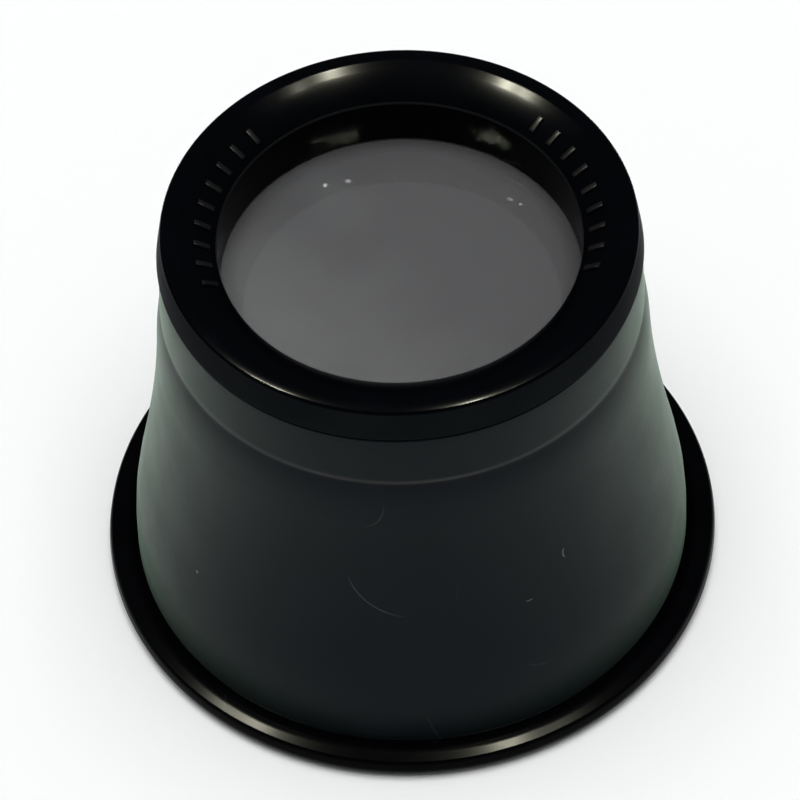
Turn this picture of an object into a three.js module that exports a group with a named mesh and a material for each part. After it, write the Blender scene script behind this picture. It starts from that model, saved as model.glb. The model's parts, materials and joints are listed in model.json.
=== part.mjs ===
// A screw-ring eye loupe: a moulded eye cup, a double-convex lens and the ring that clamps it.
// Millimetres, +Z up. The origin is the centre of the flat rim that the loupe stands on.

import * as THREE from 'three';
import { mergeVertices } from 'three/addons/utils/BufferGeometryUtils.js';

// Eye rim: the glossy rolled lip that rests in the eye socket
const RIM_RADIUS = 18;
const RIM_HEIGHT = 1.7;
const RIM_WIDTH = 1.72;
const RIM_EDGE_ROUND = 0.85;
const RIM_BEAD_DROP = 0.3;
const MOUTH_ROUND = 0.8;

// Barrel: the matte wall between the rim and the collar, a taper that swells into a bell at its foot
const BARREL_HEIGHT = 20;
const BARREL_WALL = 1.5;
const BARREL_TOP_FLARE = 2;
const BARREL_FOOT_FLARE = 0.5;
const BELL_HEIGHT = 5;
const BELL_SWELL = 0.51;
const BELL_FLARE = 12.7;

// Collar: the neck that takes the ring, and the narrow sloping shoulder at its foot
const COLLAR_HEIGHT = 3.92;
const COLLAR_WALL = 1.45;
const COLLAR_TAPER = 3.5;
const COLLAR_EDGE_ROUND = 0.15;
const SHOULDER_STEP = 0.24;
const SHOULDER_RISE = 0.45;
const SHOULDER_TILT = 35;

// Lens
const LENS_RADIUS = 11.1;
const LENS_EDGE = 2.6;
const LENS_BEVEL = 0.2;
const LENS_FRONT_CURVE = 45;
const LENS_BACK_CURVE = 45;

// Seat of the lens inside the eye cup
const LEDGE_WIDTH = 1.1;
const LEDGE_THICKNESS = 1.2;
const POCKET_STEP = 0.5;
const POCKET_RISE = 0.35;

// Screw ring
const RING_HEIGHT = 2.3;
const RING_OVERHANG = 0.1;
const RING_TAPER = 12;
const RING_EDGE_ROUND = 0.15;
const RING_CROWN_WIDTH = 0.9;
const RING_CROWN_RISE = 0.48;
const RING_FACE_DROP = 1.55;
const RING_FACE_TILT_OUT = 10;
const RING_FACE_TILT_IN = 64;
const RING_LIP = 1.15;
const SKIRT_LENGTH = 2.2;
const SKIRT_CHAMFER = 0.3;

// Fits
const LENS_CLEARANCE = 0.15;
const THREAD_GAP = 0.35;
const CLAMP_GAP = 0.03;
const SEAM_GAP = 0.12;

// Roundness
const SEGMENTS = 64;
const CURVE_STEPS = 8;
const BARREL_STEPS = 12;
const ROUND_STEPS = 4;

const radians = THREE.MathUtils.degToRad;
const degrees = THREE.MathUtils.radToDeg;

// Radii, worked outwards from the lens
const ringBore = LENS_RADIUS - RING_LIP;
const ledgeBore = LENS_RADIUS - LEDGE_WIDTH;
const pocketRadius = LENS_RADIUS + LENS_CLEARANCE;
const threadBore = pocketRadius + POCKET_STEP;
const skirtRadius = threadBore - THREAD_GAP;
const collarRadius = threadBore + COLLAR_WALL;
const ringRadius = collarRadius + RING_OVERHANG;
const barrelFootRadius = RIM_RADIUS - RIM_WIDTH;
const bellRadius = barrelFootRadius - BELL_SWELL;

// Heights, worked upwards from the rim, then down again into the collar
const barrelFootZ = RIM_HEIGHT - RIM_BEAD_DROP;
const bellZ = barrelFootZ + BELL_HEIGHT;
const barrelTopZ = barrelFootZ + BARREL_HEIGHT;
const collarFootZ = barrelTopZ + SHOULDER_RISE;
const collarTopZ = barrelTopZ + COLLAR_HEIGHT;
const ringSeatZ = collarTopZ + SEAM_GAP;
const ringTopZ = ringSeatZ + RING_HEIGHT;
const skirtEndZ = ringSeatZ - SKIRT_LENGTH;

// The collar widens downwards to its foot, and the shoulder steps out from there to the barrel
const collarWallTopZ = collarTopZ - COLLAR_EDGE_ROUND;
const collarFootRadius = collarRadius + (collarWallTopZ - collarFootZ) * Math.tan(radians(COLLAR_TAPER));
const barrelTopRadius = collarFootRadius + SHOULDER_STEP;

// How far a spherical face of the lens falls from its crown at a given radius
const sag = (curve, radius) => curve - Math.sqrt(curve * curve - radius * radius);
const lensTopEdgeZ =
  skirtEndZ - CLAMP_GAP - sag(LENS_FRONT_CURVE, LENS_RADIUS) + sag(LENS_FRONT_CURVE, ringBore);
const lensLowEdgeZ = lensTopEdgeZ - LENS_EDGE;
const ledgeZ =
  lensLowEdgeZ - CLAMP_GAP - sag(LENS_BACK_CURVE, LENS_RADIUS) + sag(LENS_BACK_CURVE, ledgeBore);
const ledgeUnderZ = ledgeZ - LEDGE_THICKNESS;
const pocketTopZ = skirtEndZ - POCKET_RISE;

// A radius that eases from one value to another over a fall in height, with a flare in degrees at each end
function flared(fall, share, fromRadius, fromFlare, toRadius, toFlare) {
  const start = Math.tan(radians(fromFlare)) * fall;
  const end = Math.tan(radians(toFlare)) * fall;
  const ease = share * share * (3 - 2 * share);
  const leave = share * (1 - share) * (1 - share);
  const arrive = share * share * (share - 1);
  return fromRadius + (toRadius - fromRadius) * ease + start * leave + end * arrive;
}

// Outer radius of the barrel at a height: a taper down from the collar, then the bell that ends upright
function barrelRadius(z) {
  const taperFall = barrelTopZ - bellZ;
  if (z >= bellZ) {
    const share = (barrelTopZ - z) / taperFall;
    return flared(taperFall, share, barrelTopRadius, BARREL_TOP_FLARE, bellRadius, BELL_FLARE);
  }
  const share = (bellZ - z) / BELL_HEIGHT;
  return flared(BELL_HEIGHT, share, bellRadius, BELL_FLARE, barrelFootRadius, BARREL_FOOT_FLARE);
}

// Points along an arc about (r, z), from one angle to another in degrees
function arc(r, z, radius, from, to, height = radius, steps = ROUND_STEPS) {
  const points = [];
  for (let i = 0; i <= steps; i++) {
    const angle = radians(from + ((to - from) * i) / steps);
    points.push(new THREE.Vector2(r + radius * Math.cos(angle), z + height * Math.sin(angle)));
  }
  return points;
}

// Points along the barrel wall between two heights, inset from the outside
function barrelWall(fromZ, toZ, inset) {
  const points = [];
  for (let i = 0; i <= BARREL_STEPS; i++) {
    const z = fromZ + ((toZ - fromZ) * i) / BARREL_STEPS;
    points.push(new THREE.Vector2(barrelRadius(z) - inset, z));
  }
  return points;
}

// Points along a curve that leaves one point and reaches another in two given directions
function sweep(from, fromTilt, to, toTilt, steps = CURVE_STEPS) {
  const a = new THREE.Vector2(Math.cos(radians(fromTilt)), Math.sin(radians(fromTilt)));
  const b = new THREE.Vector2(Math.cos(radians(toTilt)), Math.sin(radians(toTilt)));
  const gap = to.clone().sub(from);
  const reach = gap.cross(b) / a.cross(b);
  const corner = from.clone().addScaledVector(a, reach);
  return new THREE.QuadraticBezierCurve(from, corner, to).getPoints(steps);
}

// A spherical lens face from the axis out to a radius, rising (+1) or falling (-1) from its rim height
function lensFace(curve, radius, rimZ, side) {
  const points = [];
  for (let i = 0; i <= CURVE_STEPS; i++) {
    const r = (radius * i) / CURVE_STEPS;
    points.push(new THREE.Vector2(r, rimZ + side * (sag(curve, radius) - sag(curve, r))));
  }
  return points;
}

// Turns an outline of (radius, height) points, listed anticlockwise, about the Z axis into a closed solid
function turned(name, outline, material) {
  const geometry = new THREE.LatheGeometry(outline, SEGMENTS);
  geometry.rotateX(Math.PI / 2);
  geometry.deleteAttribute('normal');
  geometry.deleteAttribute('uv');
  const solid = mergeVertices(geometry, 1e-5);
  const corners = solid.getIndex().array;
  const kept = [];
  for (let i = 0; i < corners.length; i += 3) {
    const [a, b, c] = corners.slice(i, i + 3);
    if (a !== b && b !== c && c !== a) kept.push(a, b, c);
  }
  solid.setIndex(kept);
  solid.computeVertexNormals();
  const mesh = new THREE.Mesh(solid, material);
  mesh.name = name;
  return mesh;
}

const point = (r, z) => new THREE.Vector2(r, z);

// Eye cup: rest face, rolled rim, bell barrel, shoulder, collar, threaded mouth, lens pocket, ledge and hollow
function eyecupOutline() {
  const mouthRadius = barrelRadius(barrelFootZ) - BARREL_WALL;
  const mouthRound = Math.min(MOUTH_ROUND, barrelFootZ);
  const rest = point(mouthRadius + mouthRound, 0);
  const rimRound = Math.min(RIM_EDGE_ROUND, RIM_HEIGHT / 2);
  const rimEdge = arc(RIM_RADIUS - rimRound, rimRound, rimRound, -90, 0);
  const beadRise = RIM_HEIGHT - rimRound;
  const footTilt = Math.asin(1 - RIM_BEAD_DROP / beadRise);
  const beadHalf = RIM_WIDTH / (1 + Math.cos(footTilt));
  const beadEnd = 180 - degrees(footTilt);
  const rimBead = arc(RIM_RADIUS - beadHalf, rimRound, beadHalf, 0, beadEnd, beadRise, 2 * ROUND_STEPS);
  const shoulder = sweep(
    point(barrelTopRadius, barrelTopZ), 180 - SHOULDER_TILT,
    point(collarFootRadius, collarFootZ), 90 + COLLAR_TAPER, ROUND_STEPS);
  const collarEdge = arc(collarRadius - COLLAR_EDGE_ROUND, collarWallTopZ, COLLAR_EDGE_ROUND, 0, 90);
  const mouthEdge = arc(mouthRadius + mouthRound, mouthRound, mouthRound, 180, 270);
  return [
    rest,
    ...rimEdge,
    ...rimBead.slice(1, -1),
    ...barrelWall(barrelFootZ, barrelTopZ, 0),
    ...shoulder.slice(1),
    ...collarEdge,
    point(threadBore, collarTopZ),
    point(threadBore, pocketTopZ),
    point(pocketRadius, pocketTopZ),
    point(pocketRadius, ledgeZ),
    point(ledgeBore, ledgeZ),
    point(ledgeBore, ledgeUnderZ),
    ...barrelWall(ledgeUnderZ, barrelFootZ, BARREL_WALL),
    ...mouthEdge.slice(0, -1),
    rest.clone(),
  ];
}

// Lens: two spherical faces, a ground edge and a small bevel where they meet
function lensOutline() {
  const faceRadius = LENS_RADIUS - LENS_BEVEL;
  const back = lensFace(LENS_BACK_CURVE, faceRadius, lensLowEdgeZ, -1);
  const front = lensFace(LENS_FRONT_CURVE, faceRadius, lensTopEdgeZ, 1);
  return [
    ...back,
    point(LENS_RADIUS, lensLowEdgeZ + LENS_BEVEL),
    point(LENS_RADIUS, lensTopEdgeZ - LENS_BEVEL),
    ...front.reverse(),
  ];
}

// Screw ring: skirt, overhanging head with a tapered side, rounded crown and a dished face down to the bore
function ringOutline() {
  const sideRise = RING_HEIGHT - RING_EDGE_ROUND - RING_CROWN_RISE;
  const crownRadius = ringRadius - RING_CROWN_WIDTH - sideRise * Math.tan(radians(RING_TAPER));
  const onCrown = (tilt) => degrees(Math.atan2(
    RING_CROWN_RISE * Math.sin(radians(tilt)), RING_CROWN_WIDTH * Math.cos(radians(tilt))));
  const crown = arc(
    crownRadius, ringTopZ - RING_CROWN_RISE, RING_CROWN_WIDTH,
    onCrown(RING_TAPER), onCrown(90 + RING_FACE_TILT_OUT), RING_CROWN_RISE, 2 * ROUND_STEPS);
  const faceStart = crown[crown.length - 1];
  const faceEnd = point(ringBore, ringTopZ - RING_FACE_DROP);
  const face = sweep(faceStart, 180 + RING_FACE_TILT_OUT, faceEnd, 180 + RING_FACE_TILT_IN);
  return [
    point(ringBore, skirtEndZ),
    point(skirtRadius - SKIRT_CHAMFER, skirtEndZ),
    point(skirtRadius, skirtEndZ + SKIRT_CHAMFER),
    point(skirtRadius, ringSeatZ),
    ...arc(ringRadius - RING_EDGE_ROUND, ringSeatZ + RING_EDGE_ROUND, RING_EDGE_ROUND, -90, RING_TAPER),
    ...crown,
    ...face.slice(1),
    point(ringBore, skirtEndZ),
  ];
}

const mattePlastic = new THREE.MeshStandardMaterial({ color: 0x1c1e20, roughness: 0.6, metalness: 0 });
const glossPlastic = new THREE.MeshStandardMaterial({ color: 0x08080b, roughness: 0.18, metalness: 0 });
const clearGlass = new THREE.MeshStandardMaterial({
  color: 0xc4cac8, roughness: 0.03, metalness: 0, transparent: true, opacity: 0.35,
});

const loupe = new THREE.Group();
loupe.add(turned('eyecup_body', eyecupOutline(), mattePlastic));
loupe.add(turned('lens', lensOutline(), clearGlass));
loupe.add(turned('lens_ring', ringOutline(), glossPlastic));

export default loupe;
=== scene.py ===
# %% [markdown]
# # A screw-ring eye loupe
# A jeweler's eye loupe has three pieces: a moulded eye cup, a thick convex lens, and a ring that
# screws into the neck and clamps the lens. The solids already stand in the frame at their real size.
# This lesson turns each of them again with a much finer surface, adds the screw threads, and gives
# every surface its finish. We start by loading the frame.

# %% Load the frame
import json
import math

import bpy
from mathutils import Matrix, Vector


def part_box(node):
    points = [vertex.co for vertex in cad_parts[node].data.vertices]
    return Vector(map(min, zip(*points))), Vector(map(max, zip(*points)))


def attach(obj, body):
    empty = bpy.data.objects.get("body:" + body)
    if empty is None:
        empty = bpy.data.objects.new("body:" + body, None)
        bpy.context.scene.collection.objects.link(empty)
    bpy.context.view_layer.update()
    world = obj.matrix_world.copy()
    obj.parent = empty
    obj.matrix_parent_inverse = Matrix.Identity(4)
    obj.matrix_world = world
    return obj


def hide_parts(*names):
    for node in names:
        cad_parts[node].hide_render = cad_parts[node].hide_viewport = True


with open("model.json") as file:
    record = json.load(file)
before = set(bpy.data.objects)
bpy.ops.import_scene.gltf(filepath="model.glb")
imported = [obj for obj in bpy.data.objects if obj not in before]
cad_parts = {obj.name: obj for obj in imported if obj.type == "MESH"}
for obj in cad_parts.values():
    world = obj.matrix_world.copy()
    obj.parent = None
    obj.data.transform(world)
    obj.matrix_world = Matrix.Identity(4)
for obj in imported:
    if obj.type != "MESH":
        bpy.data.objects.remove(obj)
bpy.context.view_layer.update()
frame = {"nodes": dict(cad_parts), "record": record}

MM = 0.001

# %% [markdown]
# ## The camera
# The photograph looks down into the loupe from a little over half a right angle, with a long lens and
# a slight tilt to one side. A camera could be aimed with a constraint, but a few numbers and an aim
# point are easier to read and stay put. The aim point is a little under the middle of the loupe,
# because the photograph leaves more room above the ring than below the rim.

# %% Camera at the photograph's angle
AIM = Vector((-0.38, -0.96, 13.24)) * MM
CAMERA_DISTANCE = 220 * MM
CAMERA_PIVOT_HEIGHT = 14 * MM
CAMERA_ELEVATION = math.radians(51.54)
CAMERA_ROLL = math.radians(-2.68)
CAMERA_LENS = 174.1
NEAREST_SEEN = 10 * MM

camera_data = bpy.data.cameras.new("photo_camera")
camera_data.lens = CAMERA_LENS
camera_data.clip_start = NEAREST_SEEN
camera = bpy.data.objects.new("photo_camera", camera_data)
bpy.context.scene.collection.objects.link(camera)
back = Vector((0, -math.cos(CAMERA_ELEVATION), math.sin(CAMERA_ELEVATION)))
camera.location = Vector((0, 0, CAMERA_PIVOT_HEIGHT)) + back * CAMERA_DISTANCE
gaze = (AIM - camera.location).to_track_quat("-Z", "Y").to_matrix()
camera.rotation_euler = gaze.to_euler()
camera.rotation_euler.rotate_axis("Z", CAMERA_ROLL)
bpy.context.scene.camera = camera
print("camera at mm:", [round(v / MM, 1) for v in camera.location])

# %% [markdown]
# ## Reading a section from the frame
# All three pieces are round, so each is known by its section: the outline that a lathe tool would
# follow. We could type the sizes again, but then two lists would have to agree. Instead the helper
# reads the corners where the solid crosses the X-Z plane and walks from one to the next.

# %% Walk round the section of a solid
ON_PLANE = 1e-6
PLACE_DIGITS = 7


def section(node):
    """The (radius, height) corners of a solid's section, in order, and whether they close on themselves."""
    mesh = frame["nodes"][node].data

    def corner(index):
        place = mesh.vertices[index].co
        return (round(place.x, PLACE_DIGITS), round(place.z, PLACE_DIGITS))

    flat = {v.index for v in mesh.vertices if abs(v.co.y) < ON_PLANE and v.co.x > -ON_PLANE}
    links = {}
    for edge in mesh.edges:
        if set(edge.vertices) <= flat:
            first, second = (corner(i) for i in edge.vertices)
            if first != second:
                links.setdefault(first, set()).add(second)
                links.setdefault(second, set()).add(first)
    ends = [c for c in links if len(links[c]) == 1]
    path = [min(ends or links, key=lambda c: (c[1], c[0]))]
    while True:
        onward = sorted(links[path[-1]] - set(path), reverse=True)
        if not onward:
            return [Vector(c) for c in path], not ends
        path.append(onward[0])


for node in sorted(frame["nodes"]):
    points, closed = section(node)
    print(node, len(points), "corners,", "closed outline" if closed else "open outline")

# %% [markdown]
# ## Drawing the outline finer
# A solid for a machine may have eight flats round a bead, but a glossy bead shows every flat in its
# highlight. Real corners are kept, and everywhere else a smooth curve is laid through the same
# points, so the piece keeps its size exactly. Where a long straight wall runs into a small round,
# the wall sets the direction, or it would bulge.

# %% Smooth the round stretches of an outline
CORNER_TURN = math.radians(35)
STEP_TURN = math.radians(5)
STRAIGHT_WALL = 2.5


def finer(points, closed):
    """The outline with smooth stretches drawn in small steps, and the places of its real corners."""
    count = len(points)

    def chord(i):
        return points[(i + 1) % count] - points[i % count]

    def direction(i):
        if not closed and i in (0, count - 1):
            return None
        before, after = chord(i - 1), chord(i)
        if before.angle(after) > CORNER_TURN:
            return None
        if before.length > STRAIGHT_WALL * after.length:
            return before.normalized()
        if after.length > STRAIGHT_WALL * before.length:
            return after.normalized()
        return (before.normalized() * after.length + after.normalized() * before.length).normalized()

    fine, corners = [], []
    for i in range(count if closed else count - 1):
        start, span = points[i], chord(i)
        along = span.normalized()
        leave, arrive = direction(i), direction((i + 1) % count)
        if leave is None:
            corners.append(len(fine))
        mirrored = [along * (2 * along.dot(d)) - d if d else along for d in (arrive, leave)]
        leave, arrive = leave or mirrored[0], arrive or mirrored[1]
        steps = max(1, math.ceil(leave.angle(arrive) / STEP_TURN))
        for k in range(steps):
            t = k / steps
            ease = t * t * (3 - 2 * t)
            bow = leave * (t * (1 - t) ** 2) + arrive * (t * t * (t - 1))
            fine.append(start + span * ease + bow * span.length)
    if not closed:
        corners.append(len(fine))
        fine.append(points[-1])
    return fine, corners


# %% [markdown]
# ## Changing a stretch of an outline
# The solids keep to plain arcs, which is all that a machine needs to know about them. A few edges are
# livelier on the real loupe, and light shows it. There a stretch of the outline gives way to points of
# our own, less than half a millimetre from the solid. They are written in millimetres.

# %% Put other points in place of a stretch
def reshaped(points, dropped, added):
    """The outline with the points of one stretch replaced; added holds (radius, height) in mm."""
    shaped, placed = [], False
    for point in points:
        if not dropped(point):
            shaped.append(point)
        elif not placed:
            shaped += [Vector(place) * MM for place in added]
            placed = True
    return shaped


# %% [markdown]
# ## Narrow polished flats
# On the real loupe the lamps show on the rim and on the ring as bands of even width, not as hairlines.
# That is how a narrow flat mirrors a lamp: a round squeezes it to a line. Polishing leaves such flats,
# far too shallow to see in the outline. The helper takes out the steps that lean between two angles and
# puts one straight run in their place, with a short step at each end so that smooth shading keeps it flat.

# %% Lay a flat into a fine outline
FLAT_EDGE = 0.12


def flatten(fine, corners, lean, inside):
    """The outline with one flat where it leans between two angles, and its corners counted anew."""
    def leaning(i):
        step = fine[(i + 1) % len(fine)] - fine[i]
        return inside(fine[i]) and lean[0] < math.degrees(math.atan2(abs(step.y), abs(step.x))) < lean[1]

    run = [i for i in range(len(fine)) if leaning(i)]
    first, last = run[0], run[-1] + 1
    span = fine[last] - fine[first]
    flat = [fine[first], fine[first] + span * FLAT_EDGE, fine[last] - span * FLAT_EDGE]
    print("flat", round(span.length / MM, 2), "mm wide at radius", round(fine[first].x / MM, 2))
    shift = len(flat) - (last - first)
    return fine[:first] + flat + fine[last:], [c if c <= first else c + shift for c in corners]


# %% [markdown]
# ## Working in edit mode
# Every new piece starts from one vertex, because a vertex can be extruded along any outline. A plane is
# added and merged to its middle, and a trip out of edit mode and back lets the mesh settle before the
# first extrusion. Two more helpers pick vertices by number, and close a finished mesh.

# %% Start, select and close
SMOOTH_ANGLE = math.radians(33)
WELD = 1e-7


def start_vertex(name, place):
    """A new object with one vertex, in edit mode."""
    bpy.ops.object.select_all(action="DESELECT")
    bpy.ops.mesh.primitive_plane_add(size=MM, location=place)
    piece = bpy.context.object
    piece.name = piece.data.name = name
    bpy.ops.object.mode_set(mode="EDIT")
    bpy.ops.mesh.select_mode(type="VERT")
    bpy.ops.mesh.select_all(action="SELECT")
    bpy.ops.mesh.merge(type="CENTER")
    bpy.ops.object.mode_set(mode="OBJECT")
    bpy.ops.object.mode_set(mode="EDIT")
    return piece


def extrude_along(places):
    """Draws a chain of edges from the selected vertex, which stands at the first place."""
    for here, there in zip(places, places[1:]):
        bpy.ops.mesh.extrude_region_move(TRANSFORM_OT_translate={"value": there - here})


def select_vertices(piece, chosen):
    """Selects the vertices with these numbers, in edit mode."""
    bpy.ops.mesh.select_all(action="DESELECT")
    bpy.ops.object.mode_set(mode="OBJECT")
    for index in chosen:
        piece.data.vertices[index].select = True
    bpy.ops.object.mode_set(mode="EDIT")


def close_and_settle():
    """Merges doubles, turns faces outwards and puts the object's origin on the loupe's origin."""
    bpy.ops.mesh.select_all(action="SELECT")
    bpy.ops.mesh.remove_doubles(threshold=WELD)
    bpy.ops.mesh.normals_make_consistent(inside=False)
    bpy.ops.object.mode_set(mode="OBJECT")
    bpy.ops.object.transform_apply(location=True, rotation=True, scale=True)
    bpy.ops.object.shade_smooth_by_angle(angle=SMOOTH_ANGLE)


# %% [markdown]
# ## Turning a piece
# By hand this is the oldest trick in modelling: draw the section with one vertex, extruding it from
# point to point, round its corners with a bevel, and spin it about the axis. Merging the doubles closes
# the seam, and then the normals are made to point outwards.

# %% Draw, bevel and spin
SPIN_STEPS = 192
CORNER_STEPS = 3


def turned(name, fine, corners, closed, corner_round):
    """A piece turned from a fine outline, with its real corners rounded."""
    places = [Vector((p.x, 0, p.y)) for p in fine]
    piece = start_vertex(name, places[0])
    extrude_along(places)
    if closed:
        select_vertices(piece, (0, len(places) - 1))
        bpy.ops.mesh.edge_face_add()
    select_vertices(piece, [i for i in corners if closed or 0 < i < len(places) - 1])
    bpy.ops.mesh.bevel(offset=corner_round, segments=CORNER_STEPS, affect="VERTICES")
    bpy.ops.mesh.select_all(action="SELECT")
    bpy.ops.mesh.spin(steps=SPIN_STEPS, angle=2 * math.pi, center=(0, 0, 0), axis=(0, 0, 1))
    close_and_settle()
    print(name, len(piece.data.polygons), "faces from", len(fine), "outline points")
    return piece


# %% [markdown]
# ## The eye cup
# The cup is one black moulding: a rolled rim for the eye socket, a bell-shaped barrel, and a collar
# that takes the ring. Inside are the lens pocket and the ledge. The top of the rim gets a polished flat,
# and the shoulder eases from the barrel into a soft lip at the foot of the collar. The crease where the
# bead of the rim runs into the barrel is the lowest real corner of the section. It and the radius of the
# mouth are kept, because the finishes change there.

# %% Turn the eye cup
EYECUP_CORNER = 0.07 * MM
RIM_TOP_RADIUS = 17.3 * MM
RIM_TOP_HEIGHT = 1.3 * MM
RIM_TOP = ((17.92, 1.30), (17.80, 1.49), (17.34, 1.645))
RIM_FLAT_FROM = 17.0 * MM
RIM_FLAT_LEAN = (16, 21)
SHOULDER_RADIUS = 13.3 * MM
SHOULDER_FOOT = 20.5 * MM
SHOULDER_TOP = 22 * MM
SHOULDER = ((13.635, 20.40), (13.555, 20.95), (13.465, 21.40), (13.405, 21.65),
            (13.39, 21.82), (13.41, 22.05), (13.385, 22.40))


def on_rim_top(p):
    return p.x > RIM_TOP_RADIUS and p.y > RIM_TOP_HEIGHT


def on_shoulder(p):
    return p.x > SHOULDER_RADIUS and SHOULDER_FOOT < p.y < SHOULDER_TOP


cup_outline, _ = section("eyecup_body")
cup_shaped = reshaped(reshaped(cup_outline, on_rim_top, RIM_TOP), on_shoulder, SHOULDER)
cup_fine, cup_corners = finer(cup_shaped, True)
rim_crease = min((cup_fine[i] for i in cup_corners), key=lambda p: p.y)
mouth_radius = min(p.x for p in cup_outline if p.y < rim_crease.y + ON_PLANE)
cup_fine, cup_corners = flatten(
    cup_fine, cup_corners, RIM_FLAT_LEAN, lambda p: p.x > RIM_FLAT_FROM and p.y > rim_crease.y)
eyecup = turned("eyecup_moulding", cup_fine, cup_corners, True, EYECUP_CORNER)
print("rim crease at mm:", [round(v / MM, 2) for v in rim_crease], "mouth", round(mouth_radius / MM, 2))

# %% [markdown]
# ## The lens
# A double-convex lens is two shallow caps and a cylindrical ground edge. Two large spheres could be cut
# to it, but its section already holds both curves, so it is turned like the rest. The section starts and
# ends on the axis, and merging the doubles closes both poles.

# %% Turn the lens
LENS_CORNER = 0.04 * MM
lens_outline, lens_closed = section("lens")
lens = turned("lens_glass", *finer(lens_outline, lens_closed), lens_closed, LENS_CORNER)

# %% [markdown]
# ## The screw ring
# The ring's head has a steep side, a low crown and a dished face that leads the eye to the glass. Below
# the head its skirt goes down into the collar. The solid's crown is a plain oval and its dish a plain
# curve. On the real ring the steep side runs up to a crisp edge, which shows as a thin bright line, and
# the face behind the crown falls nearly straight. So the top is drawn anew, from that edge over the crown
# and down into the dish, with a polished flat below the crown.

# %% Turn the ring
RING_CORNER = 0.12 * MM
RING_TOP_HEIGHT = 26.3 * MM
RING_TOP = ((13.00, 27.36), (12.77, 27.45), (12.55, 27.51), (12.33, 27.54), (12.16, 27.53),
            (12.02, 27.49), (11.52, 27.25), (11.20, 27.08), (10.85, 26.88), (10.50, 26.66), (10.20, 26.43))
RING_FLAT_FROM = 11.4 * MM
RING_FLAT_TO = 12.1 * MM
RING_FLAT_HEIGHT = 27 * MM
RING_FLAT_LEAN = (24, 26.5)
edge_height = RING_TOP[0][1] * MM


def below_crown(p):
    return RING_FLAT_FROM < p.x < RING_FLAT_TO and p.y > RING_FLAT_HEIGHT


ring_outline, _ = section("lens_ring")
ring_shaped = reshaped(ring_outline, lambda p: p.y > RING_TOP_HEIGHT, RING_TOP)
ring_fine, ring_corners = finer(ring_shaped, True)
ring_fine, ring_corners = flatten(ring_fine, ring_corners, RING_FLAT_LEAN, below_crown)
ring = turned("screw_ring", ring_fine, ring_corners, True, RING_CORNER)

# %% [markdown]
# ## The screw thread
# The ring lifts as it turns, and the record's coupling says how far: metres for each radian. One full
# turn of that is the thread's pitch. A thread is a small ridge carried round and up, which is what the
# Screw modifier does to a section. The ridge on the skirt and the ridge in the collar are drawn half a
# pitch apart, so that each runs in the other's groove at every turn of the ring.

# %% Read the pitch and the room for the thread
THREAD_ZONE = 0.5 * MM
coupling = frame["record"]["behaviour"]["couplings"][0]
PITCH = coupling["ratio"] * 2 * math.pi
collar_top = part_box("eyecup_body")[1].z
skirt_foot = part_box("lens_ring")[0].z
skirt_radius = max(p.x for p in ring_outline if p.y < collar_top - THREAD_ZONE)
bore_radius = min(p.x for p in cup_outline if p.y > collar_top - THREAD_ZONE)
print("pitch mm", round(PITCH / MM, 3))
print("skirt mm", round(skirt_radius / MM, 2), "bore mm", round(bore_radius / MM, 2))

# %% A ridge carried round and up
RIDGE_FOOT = 0.46 * MM
RIDGE_TOP = 0.12 * MM
RIDGE_RISE = 0.25 * MM
RIDGE_SUNK = 0.05 * MM
RIDGE_ROUND = 0.03 * MM
RIDGE_ROUND_STEPS = 2
THREAD_STEPS = 96
SECTION_CORNERS = 8


def thread(name, radius, outward, start, turns):
    """A helical ridge on a cylinder; outward is 1 on the skirt and -1 in the collar."""
    inner, crest = radius - outward * RIDGE_SUNK, radius + outward * RIDGE_RISE
    corners = [(inner, -RIDGE_FOOT / 2), (crest, -RIDGE_TOP / 2),
               (crest, RIDGE_TOP / 2), (inner, RIDGE_FOOT / 2)]
    places = [Vector((r, 0, start + z)) for r, z in corners]
    piece = start_vertex(name, places[0])
    extrude_along(places)
    select_vertices(piece, (0, 3))
    bpy.ops.mesh.edge_face_add()
    select_vertices(piece, (1, 2))
    bpy.ops.mesh.bevel(offset=RIDGE_ROUND, segments=RIDGE_ROUND_STEPS, affect="VERTICES")
    bpy.ops.object.mode_set(mode="OBJECT")
    bpy.ops.object.transform_apply(location=True, rotation=True, scale=True)
    coil = piece.modifiers.new("coil", "SCREW")
    coil.angle = turns * 2 * math.pi
    coil.screw_offset = turns * PITCH
    coil.steps = coil.render_steps = round(THREAD_STEPS * turns)
    coil.use_merge_vertices = False
    bpy.ops.object.modifier_apply(modifier="coil")
    bpy.ops.object.mode_set(mode="EDIT")
    bpy.ops.mesh.select_all(action="SELECT")
    bpy.ops.mesh.fill_holes(sides=SECTION_CORNERS)
    close_and_settle()
    print(name, "turns", round(turns, 2), "faces", len(piece.data.polygons))
    return piece


# %% Thread of the skirt and thread of the collar
SKIRT_LEAD = 0.38 * MM
THREAD_END_ROOM = 0.12 * MM
skirt_start = skirt_foot + SKIRT_LEAD
skirt_turns = (collar_top - THREAD_END_ROOM - RIDGE_FOOT / 2 - skirt_start) / PITCH
collar_start = skirt_start - PITCH / 2
collar_turns = (collar_top - 2 * THREAD_END_ROOM - RIDGE_FOOT / 2 - collar_start) / PITCH
skirt_thread = thread("skirt_thread", skirt_radius, 1, skirt_start, skirt_turns)
collar_thread = thread("collar_thread", bore_radius, -1, collar_start, collar_turns)

# %% [markdown]
# ## Grip bars on the dished face
# The dished face carries low bars on its left and right, which a fingertip can push on to turn the ring.
# A bar has to follow the hollow of the dish, so it starts as a line of vertices along the section, is
# extruded sideways to a strip, and the strip is lifted along its normals. One bar is made and the others
# are turned copies of it.

# %% One bar along the dish
BAR_INNER = 10.25 * MM
BAR_OUTER = 11.28 * MM
BAR_WIDTH = 0.34 * MM
BAR_RISE = 0.14 * MM
BAR_SUNK = 0.05 * MM
BAR_ROUND = 0.05 * MM

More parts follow.
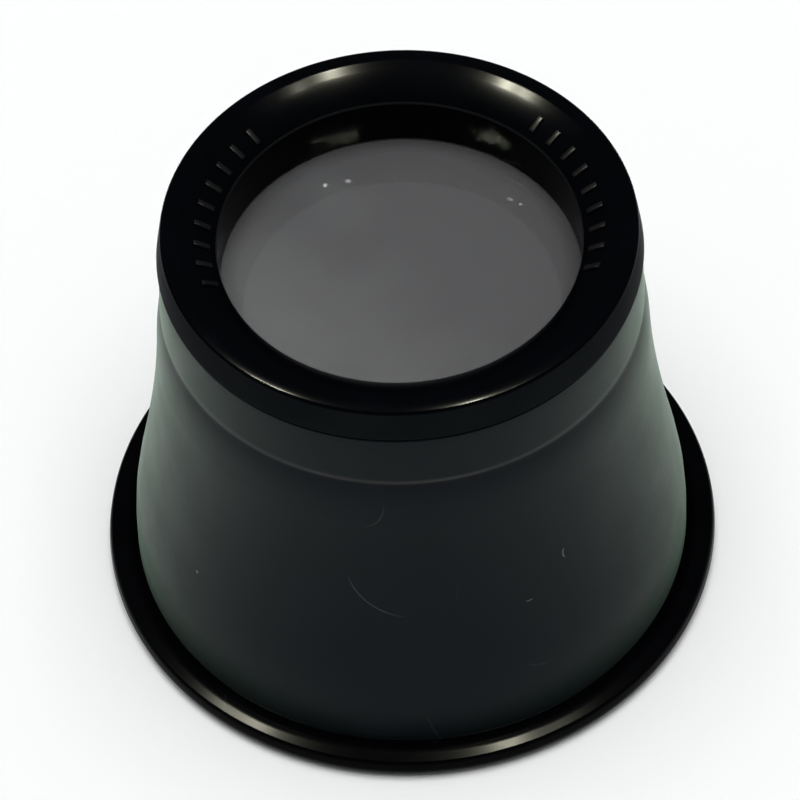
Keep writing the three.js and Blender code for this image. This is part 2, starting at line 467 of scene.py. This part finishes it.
dish = [p for p in ring_fine if BAR_INNER < p.x < BAR_OUTER and p.y > collar_top]
dish.sort(key=lambda p: p.x)
places = [Vector((p.x, -BAR_WIDTH / 2, p.y)) for p in dish]
bar = start_vertex("grip_bars", places[0])
extrude_along(places)
bpy.ops.mesh.select_all(action="SELECT")
bpy.ops.mesh.extrude_region_move(TRANSFORM_OT_translate={"value": (0, BAR_WIDTH, 0)})
bpy.ops.mesh.select_all(action="SELECT")
bpy.ops.mesh.normals_make_consistent(inside=False)
bpy.ops.object.mode_set(mode="OBJECT")
if bar.data.polygons[0].normal.z < 0:
    bar.data.flip_normals()
bpy.ops.object.mode_set(mode="EDIT")
bpy.ops.mesh.select_all(action="SELECT")
bpy.ops.transform.shrink_fatten(value=-BAR_SUNK)
bpy.ops.mesh.extrude_region_shrink_fatten(TRANSFORM_OT_shrink_fatten={"value": BAR_SUNK + BAR_RISE})
bpy.ops.mesh.region_to_loop()
bpy.ops.mesh.bevel(offset=BAR_ROUND, segments=CORNER_STEPS, affect="EDGES")
close_and_settle()
print("one bar:", len(bar.data.polygons), "faces, size mm", [round(v / MM, 2) for v in bar.dimensions])

# %% Turned copies in two arcs
BAR_STEP = 7.5
BAR_ARCS = ((137, 9), (-17, 9))
made = []
for first, number in BAR_ARCS:
    for k in range(number):
        copy = bar.copy()
        copy.data = bar.data.copy()
        bpy.context.scene.collection.objects.link(copy)
        copy.rotation_euler.z = math.radians(first + k * BAR_STEP)
        made.append(copy)
bpy.data.objects.remove(bar)
bpy.ops.object.select_all(action="DESELECT")
for copy in made:
    copy.select_set(True)
bpy.context.view_layer.objects.active = made[0]
bpy.ops.object.join()
bpy.ops.object.transform_apply(location=True, rotation=True, scale=True)
grip_bars = bpy.context.object
grip_bars.name = grip_bars.data.name = "grip_bars"
print("grip bars:", len(made), "bars,", len(grip_bars.data.polygons), "faces")

# %% [markdown]
# ## Which body carries which piece
# The loupe has three bodies: the cup, the lens on its lift, and the ring. Each turned piece takes the
# place of the solid that it was drawn from. The threads and the bars are extra pieces, so they only ride
# on their body.

# %% Give the pieces their bodies
for piece, node, body in ((eyecup, "eyecup_body", "eyecup"), (lens, "lens", "lens_carrier"),
                          (ring, "lens_ring", "ring")):
    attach(piece, body)
    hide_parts(node)
    print(piece.name, "replaces", node, "on", body)
for piece, node, body in ((collar_thread, "eyecup_body", "eyecup"), (skirt_thread, "lens_ring", "ring"),
                          (grip_bars, "lens_ring", "ring")):
    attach(piece, body)
    print(piece.name, "rides on", body)

# %% [markdown]
# ## Shared surface effects
# Moulded plastic is never one flat colour: the mould leaves a fine grain, and hands leave hairlines and
# dust. Such effects are needed on several pieces, so each is a node group with named inputs, built
# once and placed in each material with its own values. The groups read Object coordinates in metres,
# so their scales are counts per metre.

# %% Node group helpers
def shader_group(name, inputs, outputs):
    """An empty shader node group with these sockets."""
    group = bpy.data.node_groups.new(name, "ShaderNodeTree")
    for label, kind, value in inputs:
        socket = group.interface.new_socket(label, in_out="INPUT", socket_type=kind)
        if value is not None:
            socket.default_value = value
    for label in outputs:
        group.interface.new_socket(label, in_out="OUTPUT", socket_type="NodeSocketFloat")
    return group, group.nodes.new("NodeGroupInput"), group.nodes.new("NodeGroupOutput")


def add_node(tree, kind, values=None, **settings):
    """A node with its settings and the values of its unlinked inputs."""
    node = tree.nodes.new(kind)
    for key, value in settings.items():
        setattr(node, key, value)
    for key, value in (values or {}).items():
        node.inputs[key].default_value = value
    return node


def fading(tree, near, far):
    """A node that falls from one to nothing as its value grows from near to far."""
    return add_node(tree, "ShaderNodeMapRange",
                    {"From Min": near, "From Max": far, "To Min": 1.0, "To Max": 0.0})


# %% [markdown]
# ### Grain of the mould
# Two noises are enough: a very fine one for the bump that makes plastic satin, and a slow one that
# shifts its colour and polish from place to place.

# %% Build the grain
MOTTLE_RANGE = (0.35, 0.65)
grain, enter, leave = shader_group(
    "mould_grain",
    [("Vector", "NodeSocketVector", None), ("Grain scale", "NodeSocketFloat", 5000.0),
     ("Mottle scale", "NodeSocketFloat", 260.0)],
    ["Height", "Mottle"])
fine_noise = add_node(grain, "ShaderNodeTexNoise", {"Detail": 3.0, "Roughness": 0.6})
slow_noise = add_node(grain, "ShaderNodeTexNoise", {"Detail": 4.0, "Roughness": 0.55})
for noise, label in ((fine_noise, "Grain scale"), (slow_noise, "Mottle scale")):
    grain.links.new(enter.outputs["Vector"], noise.inputs["Vector"])
    grain.links.new(enter.outputs[label], noise.inputs["Scale"])
spread = add_node(grain, "ShaderNodeMapRange", {"From Min": MOTTLE_RANGE[0], "From Max": MOTTLE_RANGE[1]})
grain.links.new(slow_noise.outputs["Fac"], spread.inputs["Value"])
grain.links.new(fine_noise.outputs["Fac"], leave.inputs["Height"])
grain.links.new(spread.outputs["Result"], leave.inputs["Mottle"])
print("group", grain.name, "with", len(grain.nodes), "nodes")

# %% [markdown]
# ### Hairlines and dust
# The contour lines of a smooth noise wander like hairline scratches, and a second noise breaks them into
# short lengths. Dust is a cell pattern in which only a small share of the cells keeps a speck.

# %% Build the hairlines
CONTOUR_SPACING = 0.11
HAIRLINE_WIDTH = 0.0022
BREAK_SCALE = 210.0
BREAK_RANGE = (0.66, 0.74)
marks, enter, leave = shader_group(
    "handling_marks",
    [("Vector", "NodeSocketVector", None), ("Hairline scale", "NodeSocketFloat", 90.0),
     ("Dust scale", "NodeSocketFloat", 900.0), ("Dust share", "NodeSocketFloat", 0.03)],
    ["Hairlines", "Dust"])
sweep = add_node(marks, "ShaderNodeTexNoise", {"Detail": 0.0})
marks.links.new(enter.outputs["Vector"], sweep.inputs["Vector"])
marks.links.new(enter.outputs["Hairline scale"], sweep.inputs["Scale"])
contour = add_node(marks, "ShaderNodeMath", {1: CONTOUR_SPACING}, operation="PINGPONG")
marks.links.new(sweep.outputs["Fac"], contour.inputs[0])
line = fading(marks, 0.0, HAIRLINE_WIDTH)
marks.links.new(contour.outputs["Value"], line.inputs["Value"])
gaps = add_node(marks, "ShaderNodeTexNoise", {"Scale": BREAK_SCALE, "Detail": 1.0})
marks.links.new(enter.outputs["Vector"], gaps.inputs["Vector"])
broken = add_node(marks, "ShaderNodeMapRange", {"From Min": BREAK_RANGE[0], "From Max": BREAK_RANGE[1]})
marks.links.new(gaps.outputs["Fac"], broken.inputs["Value"])
hairline = add_node(marks, "ShaderNodeMath", operation="MULTIPLY")
marks.links.new(line.outputs["Result"], hairline.inputs[0])
marks.links.new(broken.outputs["Result"], hairline.inputs[1])
marks.links.new(hairline.outputs["Value"], leave.inputs["Hairlines"])

# %% Add the dust
SPECK_SIZE = (0.06, 0.12)
specks = add_node(marks, "ShaderNodeTexVoronoi", {"Randomness": 1.0})
marks.links.new(enter.outputs["Vector"], specks.inputs["Vector"])
marks.links.new(enter.outputs["Dust scale"], specks.inputs["Scale"])
near = fading(marks, *SPECK_SIZE)
marks.links.new(specks.outputs["Distance"], near.inputs["Value"])
pick = add_node(marks, "ShaderNodeSeparateColor")
marks.links.new(specks.outputs["Color"], pick.inputs["Color"])
chosen = add_node(marks, "ShaderNodeMath", operation="LESS_THAN")
marks.links.new(pick.outputs["Red"], chosen.inputs[0])
marks.links.new(enter.outputs["Dust share"], chosen.inputs[1])
dust = add_node(marks, "ShaderNodeMath", operation="MULTIPLY")
marks.links.new(near.outputs["Result"], dust.inputs[0])
marks.links.new(chosen.outputs["Value"], dust.inputs[1])
marks.links.new(dust.outputs["Value"], leave.inputs["Dust"])
print("group", marks.name, "with", len(marks.nodes), "nodes")

# %% [markdown]
# ### One scratch
# A few scratches on the barrel are too plain to leave to chance. A scratch is an arc: the places at one
# distance from a centre, and of those only the ones near a middle point.

# %% Build the scratch
SCRATCH_EDGE = (0.015 * MM, 0.05 * MM)
SCRATCH_END = (0.5, 1.0)
scratch, enter, leave = shader_group(
    "scratch",
    [("Vector", "NodeSocketVector", None), ("Centre", "NodeSocketVector", None),
     ("Radius", "NodeSocketFloat", 0.004), ("Middle", "NodeSocketVector", None),
     ("Reach", "NodeSocketFloat", 0.002)],
    ["Mask"])
away = {}
for label in ("Centre", "Middle"):
    away[label] = add_node(scratch, "ShaderNodeVectorMath", operation="DISTANCE")
    scratch.links.new(enter.outputs["Vector"], away[label].inputs[0])
    scratch.links.new(enter.outputs[label], away[label].inputs[1])
off_line = add_node(scratch, "ShaderNodeMath", operation="SUBTRACT")
scratch.links.new(away["Centre"].outputs["Value"], off_line.inputs[0])
scratch.links.new(enter.outputs["Radius"], off_line.inputs[1])
off_line_size = add_node(scratch, "ShaderNodeMath", operation="ABSOLUTE")
scratch.links.new(off_line.outputs["Value"], off_line_size.inputs[0])
on_line = fading(scratch, *SCRATCH_EDGE)
scratch.links.new(off_line_size.outputs["Value"], on_line.inputs["Value"])
share = add_node(scratch, "ShaderNodeMath", operation="DIVIDE")
scratch.links.new(away["Middle"].outputs["Value"], share.inputs[0])
scratch.links.new(enter.outputs["Reach"], share.inputs[1])
in_reach = fading(scratch, *SCRATCH_END)
scratch.links.new(share.outputs["Value"], in_reach.inputs["Value"])
both = add_node(scratch, "ShaderNodeMath", operation="MULTIPLY")
scratch.links.new(on_line.outputs["Result"], both.inputs[0])
scratch.links.new(in_reach.outputs["Result"], both.inputs[1])
scratch.links.new(both.outputs["Value"], leave.inputs["Mask"])
print("group", scratch.name, "with", len(scratch.nodes), "nodes")

# %% [markdown]
# ### A band of painted highlight
# A pale band of painted highlight runs right round the ring at one height, where the inner edge of the
# dish catches the light. The mask needs nothing but the distance from that height.

# %% Build the band
BAND_EDGE = (0.3, 1.0)
height_band, enter, leave = shader_group(
    "height_band",
    [("Vector", "NodeSocketVector", None), ("Height", "NodeSocketFloat", 0.0),
     ("Half width", "NodeSocketFloat", 0.0002)],
    ["Mask"])
parts = add_node(height_band, "ShaderNodeSeparateXYZ")
height_band.links.new(enter.outputs["Vector"], parts.inputs["Vector"])
above = add_node(height_band, "ShaderNodeMath", operation="SUBTRACT")
height_band.links.new(parts.outputs["Z"], above.inputs[0])
height_band.links.new(enter.outputs["Height"], above.inputs[1])
distance = add_node(height_band, "ShaderNodeMath", operation="ABSOLUTE")
height_band.links.new(above.outputs["Value"], distance.inputs[0])
ratio = add_node(height_band, "ShaderNodeMath", operation="DIVIDE")
height_band.links.new(distance.outputs["Value"], ratio.inputs[0])
height_band.links.new(enter.outputs["Half width"], ratio.inputs[1])
fall = fading(height_band, *BAND_EDGE)
height_band.links.new(ratio.outputs["Value"], fall.inputs["Value"])
height_band.links.new(fall.outputs["Result"], leave.inputs["Mask"])
print("group", height_band.name, "with", len(height_band.nodes), "nodes")

# %% [markdown]
# ## Black plastics
# The barrel, the rim and the ring are the same black plastic with different polish. What sets them
# apart is roughness, how strongly they mirror the room, and the pale sheen that satin shows at a low angle,
# whose green tint is a painted reflection. So one function makes all the finishes, from a pair of close
# blacks, a range of roughness and the strength of the grain.

# %% Helpers that place the shared effects
def placed_group(tree, group, place, values=None):
    """A shared effect placed in a material, reading the piece's own coordinates."""
    node = add_node(tree, "ShaderNodeGroup", values, node_tree=group)
    tree.links.new(place.outputs["Object"], node.inputs["Vector"])
    return node


def added_mark(tree, mask, strength, mask_so_far):
    """The mask so far with one more mark added on it."""
    total = add_node(tree, "ShaderNodeMath", {1: strength}, operation="MULTIPLY_ADD")
    tree.links.new(mask, total.inputs[0])
    tree.links.new(mask_so_far, total.inputs[2])
    return total.outputs["Value"]


def mixed_colour(tree, factor, first, second):
    """A mix of two colours by a mask; a colour is a constant or an output of another node."""
    mix = add_node(tree, "ShaderNodeMix", data_type="RGBA")
    tree.links.new(factor, mix.inputs["Factor"])
    for label, colour in (("A", first), ("B", second)):
        if isinstance(colour, tuple):
            mix.inputs[label].default_value = (*colour, 1)
        else:
            tree.links.new(colour, mix.inputs[label])
    return mix.outputs["Result"]


# %% A function for the black finishes
SHEEN_ROUGHNESS = 0.33
# The green tint of the sheen is a painted reflection of greenish surroundings.
SHEEN_TINT_PAINTED_GREEN = (0.64, 0.91, 0.69, 1)
DUST_SHARE = 0.012
# Pale grey for scuffs, and for the band of painted highlight.
SCUFF_AND_HIGHLIGHT_GREY = (0.16, 0.165, 0.16)
GRAIN_DEPTH = 0.02 * MM


def black_plastic(name, deep, faded, roughness, specular, grain_scale, grain_strength, mark_strength,
                  sheen=0, scratches=(), painted_highlight=None):
    """A moulded black plastic: mottled colour, grain in the bump, hairlines and dust, and a painted
    highlight band if given.
    """
    material = bpy.data.materials.new(name)
    material.use_nodes = True
    tree = material.node_tree
    shader = tree.nodes["Principled BSDF"]
    shader.inputs["Specular IOR Level"].default_value = specular
    shader.inputs["Sheen Weight"].default_value = sheen
    shader.inputs["Sheen Roughness"].default_value = SHEEN_ROUGHNESS
    shader.inputs["Sheen Tint"].default_value = SHEEN_TINT_PAINTED_GREEN
    place = add_node(tree, "ShaderNodeTexCoord")
    texture = placed_group(tree, grain, place, {"Grain scale": grain_scale})
    wear = placed_group(tree, marks, place, {"Dust share": DUST_SHARE})
    mask_so_far = added_mark(tree, wear.outputs["Hairlines"], mark_strength, wear.outputs["Dust"])
    for centre, radius, middle, reach, strength in scratches:
        arc = placed_group(tree, scratch, place, {
            "Centre": Vector(centre) * MM, "Radius": radius * MM,
            "Middle": Vector(middle) * MM, "Reach": reach * MM})
        mask_so_far = added_mark(tree, arc.outputs["Mask"], strength, mask_so_far)
    # An optional pale band at one height, which is a painted highlight.
    if painted_highlight:
        height, half_width, strength = painted_highlight
        band = placed_group(tree, height_band, place, {"Height": height, "Half width": half_width})
        mask_so_far = added_mark(tree, band.outputs["Mask"], strength, mask_so_far)
    tone = mixed_colour(tree, texture.outputs["Mottle"], deep, faded)
    scuffed_and_highlit = mixed_colour(tree, mask_so_far, tone, SCUFF_AND_HIGHLIGHT_GREY)
    tree.links.new(scuffed_and_highlit, shader.inputs["Base Color"])
    gloss = add_node(tree, "ShaderNodeMapRange", {"To Min": roughness[0], "To Max": roughness[1]})
    tree.links.new(texture.outputs["Mottle"], gloss.inputs["Value"])
    tree.links.new(gloss.outputs["Result"], shader.inputs["Roughness"])
    bump = add_node(tree, "ShaderNodeBump", {"Strength": grain_strength, "Distance": GRAIN_DEPTH})
    tree.links.new(texture.outputs["Height"], bump.inputs["Height"])
    tree.links.new(bump.outputs["Normal"], shader.inputs["Normal"])
    print("finish", name, "with", len(tree.nodes), "nodes")
    return material


# %% [markdown]
# ### The satin finishes
# Barrel and collar are satin. The collar's sheen is stronger, a painted sheen that makes it brighter than
# the barrel. Each scratch is given by the centre and radius of its arc, the middle and reach of the stretch
# that shows, all in millimetres, and its strength.

# %% Satin, with and without scratches
BARREL_SCRATCHES = (((0.0, -14.2, 15.1), 3.74, (-2.64, -14.35, 12.4), 2.4, 0.28),
                    ((8.9, -11.6, 12.9), 0.75, (8.22, -11.95, 12.9), 0.45, 0.9),
                    ((6.3, -13.5, 11.6), 0.87, (6.3, -13.48, 10.73), 0.25, 0.7),
                    ((7.2, -14.2, 7.0), 1.4, (6.8, -14.38, 5.63), 0.9, 0.12))
SATIN = {"deep": (0.0024, 0.0038, 0.0066), "faded": (0.0036, 0.0054, 0.0084), "roughness": (0.36, 0.46),
         "specular": 0.05, "grain_scale": 5200.0, "grain_strength": 0.25, "mark_strength": 0.12}
satin_black = black_plastic("satin_black", **SATIN, sheen=0.3, scratches=BARREL_SCRATCHES)
# The collar's stronger sheen is painted sheen, to light it brighter than the barrel.
collar_satin_painted_sheen = black_plastic("collar_satin_painted_sheen", **SATIN, sheen=0.42)

# %% [markdown]
# ### The polished and the dull finishes
# Rim and ring are polished, and a painted highlight runs as a pale band round the inner edge of the ring's
# dish. The ring's side has lost its polish, the bars are a little paler as a painted highlight, and the
# inside of the cup is as the mould left it.

# %% Polish, dull side, bars and inside
# A painted highlight: a pale band round the inner edge of the ring's dish, at this height.
PAINTED_HIGHLIGHT_HEIGHT = 26.19 * MM
PAINTED_HIGHLIGHT_HALF_WIDTH = 0.10 * MM
PAINTED_HIGHLIGHT_STRENGTH = 0.06
POLISH_GRAIN = {"grain_scale": 1800.0, "grain_strength": 0.03, "mark_strength": 0.08}
polished_rim = black_plastic(
    "polished_rim", (0.0006, 0.0007, 0.0011), (0.0010, 0.0011, 0.0016),
    roughness=(0.17, 0.20), specular=0.018, **POLISH_GRAIN)
polished_ring = black_plastic(
    "polished_ring", (0.0006, 0.0008, 0.0014), (0.0010, 0.0012, 0.0020),
    roughness=(0.15, 0.17), specular=0.025, **POLISH_GRAIN,
    painted_highlight=(PAINTED_HIGHLIGHT_HEIGHT, PAINTED_HIGHLIGHT_HALF_WIDTH, PAINTED_HIGHLIGHT_STRENGTH))
dull_side = black_plastic(
    "dull_side", (0.0050, 0.0066, 0.0076), (0.0070, 0.0086, 0.0094), roughness=(0.34, 0.42),
    specular=0.005, grain_scale=3600.0, grain_strength=0.10, mark_strength=0.06)
# The bars' paler black is a painted highlight, standing in for the glints that raised bars catch.
painted_highlight_bars = black_plastic(
    "painted_highlight_bars", (0.0026, 0.0028, 0.0034), (0.0060, 0.0062, 0.0068), roughness=(0.30, 0.40),
    specular=0.10, grain_scale=3600.0, grain_strength=0.10, mark_strength=0.10)
inside_black = black_plastic(
    "inside_black", (0.0040, 0.0042, 0.0046), (0.0065, 0.0068, 0.0070), roughness=(0.50, 0.62),
    specular=0.25, grain_scale=4200.0, grain_strength=0.05, mark_strength=0.1)

# %% [markdown]
# ## Where each black goes
# Faces could be picked by hand, but a face's place tells which finish it takes, and that stays right when
# a size changes. Outside the crease, or below it and facing out, a face is rim. Facing the axis or inside
# the mouth it is inside. Above the lip of the shoulder it is collar, and all the rest of the cup is
# barrel. On the ring only the side is dull, up to a narrow band below its edge.

# %% Assign the finishes of the eye cup
SATIN_SLOT, RIM_SLOT, INSIDE_SLOT, COLLAR_SLOT = range(4)
COLLAR_FOOT = 21.7 * MM
MOUTH_ROOM = 0.01 * MM


def radius_of(place):
    return math.hypot(place.x, place.y)


for finish in (satin_black, polished_rim, inside_black, collar_satin_painted_sheen):
    eyecup.data.materials.append(finish)
for face in eyecup.data.polygons:
    radius, height = radius_of(face.center), face.center.z
    outward = face.normal.x * face.center.x + face.normal.y * face.center.y
    below_crease = height < rim_crease.y and radius > mouth_radius + MOUTH_ROOM
    if radius > rim_crease.x or below_crease and outward >= 0:
        face.material_index = RIM_SLOT
    elif outward < 0 or radius < mouth_radius and face.normal.z < 0 or height < rim_crease.y:
        face.material_index = INSIDE_SLOT
    elif height > COLLAR_FOOT:
        face.material_index = COLLAR_SLOT
    else:
        face.material_index = SATIN_SLOT
for slot, finish in enumerate(eyecup.data.materials):
    print(finish.name, sum(f.material_index == slot for f in eyecup.data.polygons), "faces")

# %% Assign the finishes of the ring, the threads and the bars
DULL_SLOT = 1
RING_SIDE_FROM = 12.8 * MM
RING_EDGE_BAND = 0.3 * MM
for finish in (polished_ring, dull_side):
    ring.data.materials.append(finish)
for face in ring.data.polygons:
    if radius_of(face.center) > RING_SIDE_FROM and face.center.z < edge_height - RING_EDGE_BAND:
        face.material_index = DULL_SLOT
skirt_thread.data.materials.append(polished_ring)
grip_bars.data.materials.append(painted_highlight_bars)
collar_thread.data.materials.append(inside_black)
print("dull side:", sum(f.material_index == DULL_SLOT for f in ring.data.polygons), "faces")

# %% [markdown]
# ## Glass
# A lens that has been in use is never quite clear: dust and fine wear veil it. The veil could be a thin
# skin over the lens, but it is simpler in the glass itself, as the share of the light that the surface
# scatters and doesn't let through. Its grey varies with a slow noise and with the distance across the lens,
# paler towards the front left. The two caps are polished. The edge is ground, so it is rough and paler.

# %% Clear and ground glass
GLASS_IOR = 1.52
GLASS_CLEARNESS = 0.70
# The direction in which the lens's grey gets paler.
PALER_SIDE = Vector((-0.75, -0.66, 0.0))
FILM_RANGE = (0.7, 1.8)
CLOUD_SCALE = 170.0
CLOUD_SHARE = 1.6
GLASS_DUST_SCALE = 500.0
lens_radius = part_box("lens")[1].x


def glass(name, clean, filmed, roughness):
    """Glass with a thin film of dust, paler towards one side, and a few specks."""
    material = bpy.data.materials.new(name)
    material.use_nodes = True
    tree = material.node_tree
    shader = tree.nodes["Principled BSDF"]
    shader.inputs["Transmission Weight"].default_value = GLASS_CLEARNESS
    shader.inputs["IOR"].default_value = GLASS_IOR
    place = add_node(tree, "ShaderNodeTexCoord")
    across = add_node(tree, "ShaderNodeVectorMath", {1: PALER_SIDE / lens_radius}, operation="DOT_PRODUCT")
    tree.links.new(place.outputs["Object"], across.inputs[0])
    cloud = add_node(tree, "ShaderNodeTexNoise", {"Scale": CLOUD_SCALE, "Detail": 1.5, "Roughness": 0.5})
    tree.links.new(place.outputs["Object"], cloud.inputs["Vector"])
    uneven = added_mark(tree, cloud.outputs["Fac"], CLOUD_SHARE, across.outputs["Value"])
    film = add_node(tree, "ShaderNodeMapRange", {"From Min": FILM_RANGE[0], "From Max": FILM_RANGE[1]})
    tree.links.new(uneven, film.inputs["Value"])
    tint = mixed_colour(tree, film.outputs["Result"], clean, filmed)
    tree.links.new(tint, shader.inputs["Base Color"])
    wear = placed_group(tree, marks, place, {"Dust scale": GLASS_DUST_SCALE})
    haze = add_node(tree, "ShaderNodeMapRange", {"To Min": roughness[0], "To Max": roughness[1]})
    tree.links.new(wear.outputs["Dust"], haze.inputs["Value"])
    tree.links.new(haze.outputs["Result"], shader.inputs["Roughness"])
    return material


# %% Assign the two glasses
GROUND_SLOT = 1
LENS_EDGE_BAND = 0.25 * MM
clear_glass = glass(
    "clear_glass", clean=(0.23, 0.23, 0.238), filmed=(0.36, 0.364, 0.368), roughness=(0.0, 0.35))
ground_glass = glass(
    "ground_glass", clean=(0.76, 0.76, 0.78), filmed=(0.84, 0.84, 0.86), roughness=(0.45, 0.6))
for finish in (clear_glass, ground_glass):
    lens.data.materials.append(finish)
for face in lens.data.polygons:
    if radius_of(face.center) > lens_radius - LENS_EDGE_BAND:
        face.material_index = GROUND_SLOT
print("ground edge:", sum(f.material_index == GROUND_SLOT for f in lens.data.polygons), "faces")

# %% [markdown]
# ## The floor
# The loupe stands on a plain pale floor. A curved backdrop would do as well, but the camera looks down, so
# the floor alone fills the view. A matt paint keeps the loupe's soft shadow and mirrors almost nothing.

# %% Pale floor
FLOOR_SIZE = 3.0
FLOOR_PAINT = (0.92, 0.92, 0.92, 1)
FLOOR_ROUGHNESS = 0.9
FLOOR_GLOSS = 0.1
bpy.ops.object.select_all(action="DESELECT")
bpy.ops.mesh.primitive_plane_add(size=FLOOR_SIZE, location=(0, 0, 0))
floor = bpy.context.object
floor.name = "pale_floor"
floor_paint = bpy.data.materials.new("pale_floor")
floor_paint.use_nodes = True
floor_shader = floor_paint.node_tree.nodes["Principled BSDF"]
floor_shader.inputs["Base Color"].default_value = FLOOR_PAINT
floor_shader.inputs["Roughness"].default_value = FLOOR_ROUGHNESS
floor_shader.inputs["Specular IOR Level"].default_value = FLOOR_GLOSS
floor.data.materials.append(floor_paint)
print("floor", FLOOR_SIZE, "m wide")

# %% [markdown]
# ## The lamps
# One large soft box hangs overhead. It would show as a white patch in every polished black surface, so it
# lights the colours and is kept out of the gloss. The paired highlights on the rim and on the far lip of
# the ring come from small bulbs on the left and right, and those in turn are kept out of the colours. Four
# weak glints show only through the glass, as small bright points in the lens.

# %% A lamp that looks at the loupe
def lamp(name, azimuth, elevation, distance, size, watts):
    """A square lamp that looks at the loupe; azimuth 0 is behind it and 90 to its right."""
    data = bpy.data.lights.new(name, "AREA")
    data.shape = "SQUARE"
    data.size = size
    data.energy = watts
    made = bpy.data.objects.new(name, data)
    bpy.context.scene.collection.objects.link(made)
    a, e = math.radians(azimuth), math.radians(elevation)
    towards = Vector((math.sin(a) * math.cos(e), math.cos(a) * math.cos(e), math.sin(e)))
    made.location = towards * distance
    made.rotation_euler = towards.to_track_quat("Z", "Y").to_euler()
    return made


# %% Soft box, bulbs and glints
OVERHEAD = 90
SOFT_BOX_HEIGHT = 1.2
SOFT_BOX_SIZE = 1.0
SOFT_BOX_WATTS = 14.8
BULB_COLOUR = (1.0, 0.98, 0.78)
BULB_DISTANCE = 0.6
BULB_SIZE = 0.015
BULBS = ((96.5, 71.1, 0.5), (106, 78.2, 3.6), (-86.2, 68, 3.0), (-80, 64.3, 1.8))
GLINT_DISTANCE = 0.57
GLINT_SIZE = 0.012
GLINT_WATTS = 0.06
GLINTS = ((96.5, 71.1), (103.9, 77.1), (-79, 59.6), (-76.5, 56.2))

soft_box = lamp("soft_box", 0, OVERHEAD, SOFT_BOX_HEIGHT, SOFT_BOX_SIZE, SOFT_BOX_WATTS)
soft_box.visible_glossy = False
soft_box.visible_transmission = False
for number, (azimuth, elevation, watts) in enumerate(BULBS, 1):
    bulb = lamp(f"bulb_{number}", azimuth, elevation, BULB_DISTANCE, BULB_SIZE, watts)
    bulb.data.color = BULB_COLOUR
    bulb.visible_diffuse = False
    bulb.visible_transmission = False
for number, (azimuth, elevation) in enumerate(GLINTS, 1):
    glint = lamp(f"glint_{number}", azimuth, elevation, GLINT_DISTANCE, GLINT_SIZE, GLINT_WATTS)
    glint.visible_diffuse = False
    glint.visible_glossy = False
print("lamps:", 1 + len(BULBS) + len(GLINTS))

# %% [markdown]
# ## The room
# Black gloss needs something to mirror. A picture of a studio could be wrapped round the scene, but a dim
# room that is darker near the floor and paler overhead is enough to shade the rounds gently.

# %% Dim room
ROOM_TINT = (0.94, 0.98, 1.0, 1)
ROOM_RISE = (0.1, 0.9)
ROOM_STRENGTH = (0.06, 0.32)
room = bpy.data.worlds.new("dim_room")
room.use_nodes = True
bpy.context.scene.world = room
sky = room.node_tree
way = add_node(sky, "ShaderNodeTexCoord")
upward = add_node(sky, "ShaderNodeSeparateXYZ")
rise = add_node(sky, "ShaderNodeMapRange", {
    "From Min": ROOM_RISE[0], "From Max": ROOM_RISE[1],
    "To Min": ROOM_STRENGTH[0], "To Max": ROOM_STRENGTH[1]})
sky.links.new(way.outputs["Generated"], upward.inputs["Vector"])
sky.links.new(upward.outputs["Z"], rise.inputs["Value"])
background = sky.nodes["Background"]
background.inputs["Color"].default_value = ROOM_TINT
sky.links.new(rise.outputs["Result"], background.inputs["Strength"])
print("room strength from", ROOM_STRENGTH[0], "to", ROOM_STRENGTH[1])

# %% [markdown]
# ## The colour view
# The colours are shown with the Standard view transform.

# %% Set the view transform
bpy.context.scene.view_settings.view_transform = "Standard"
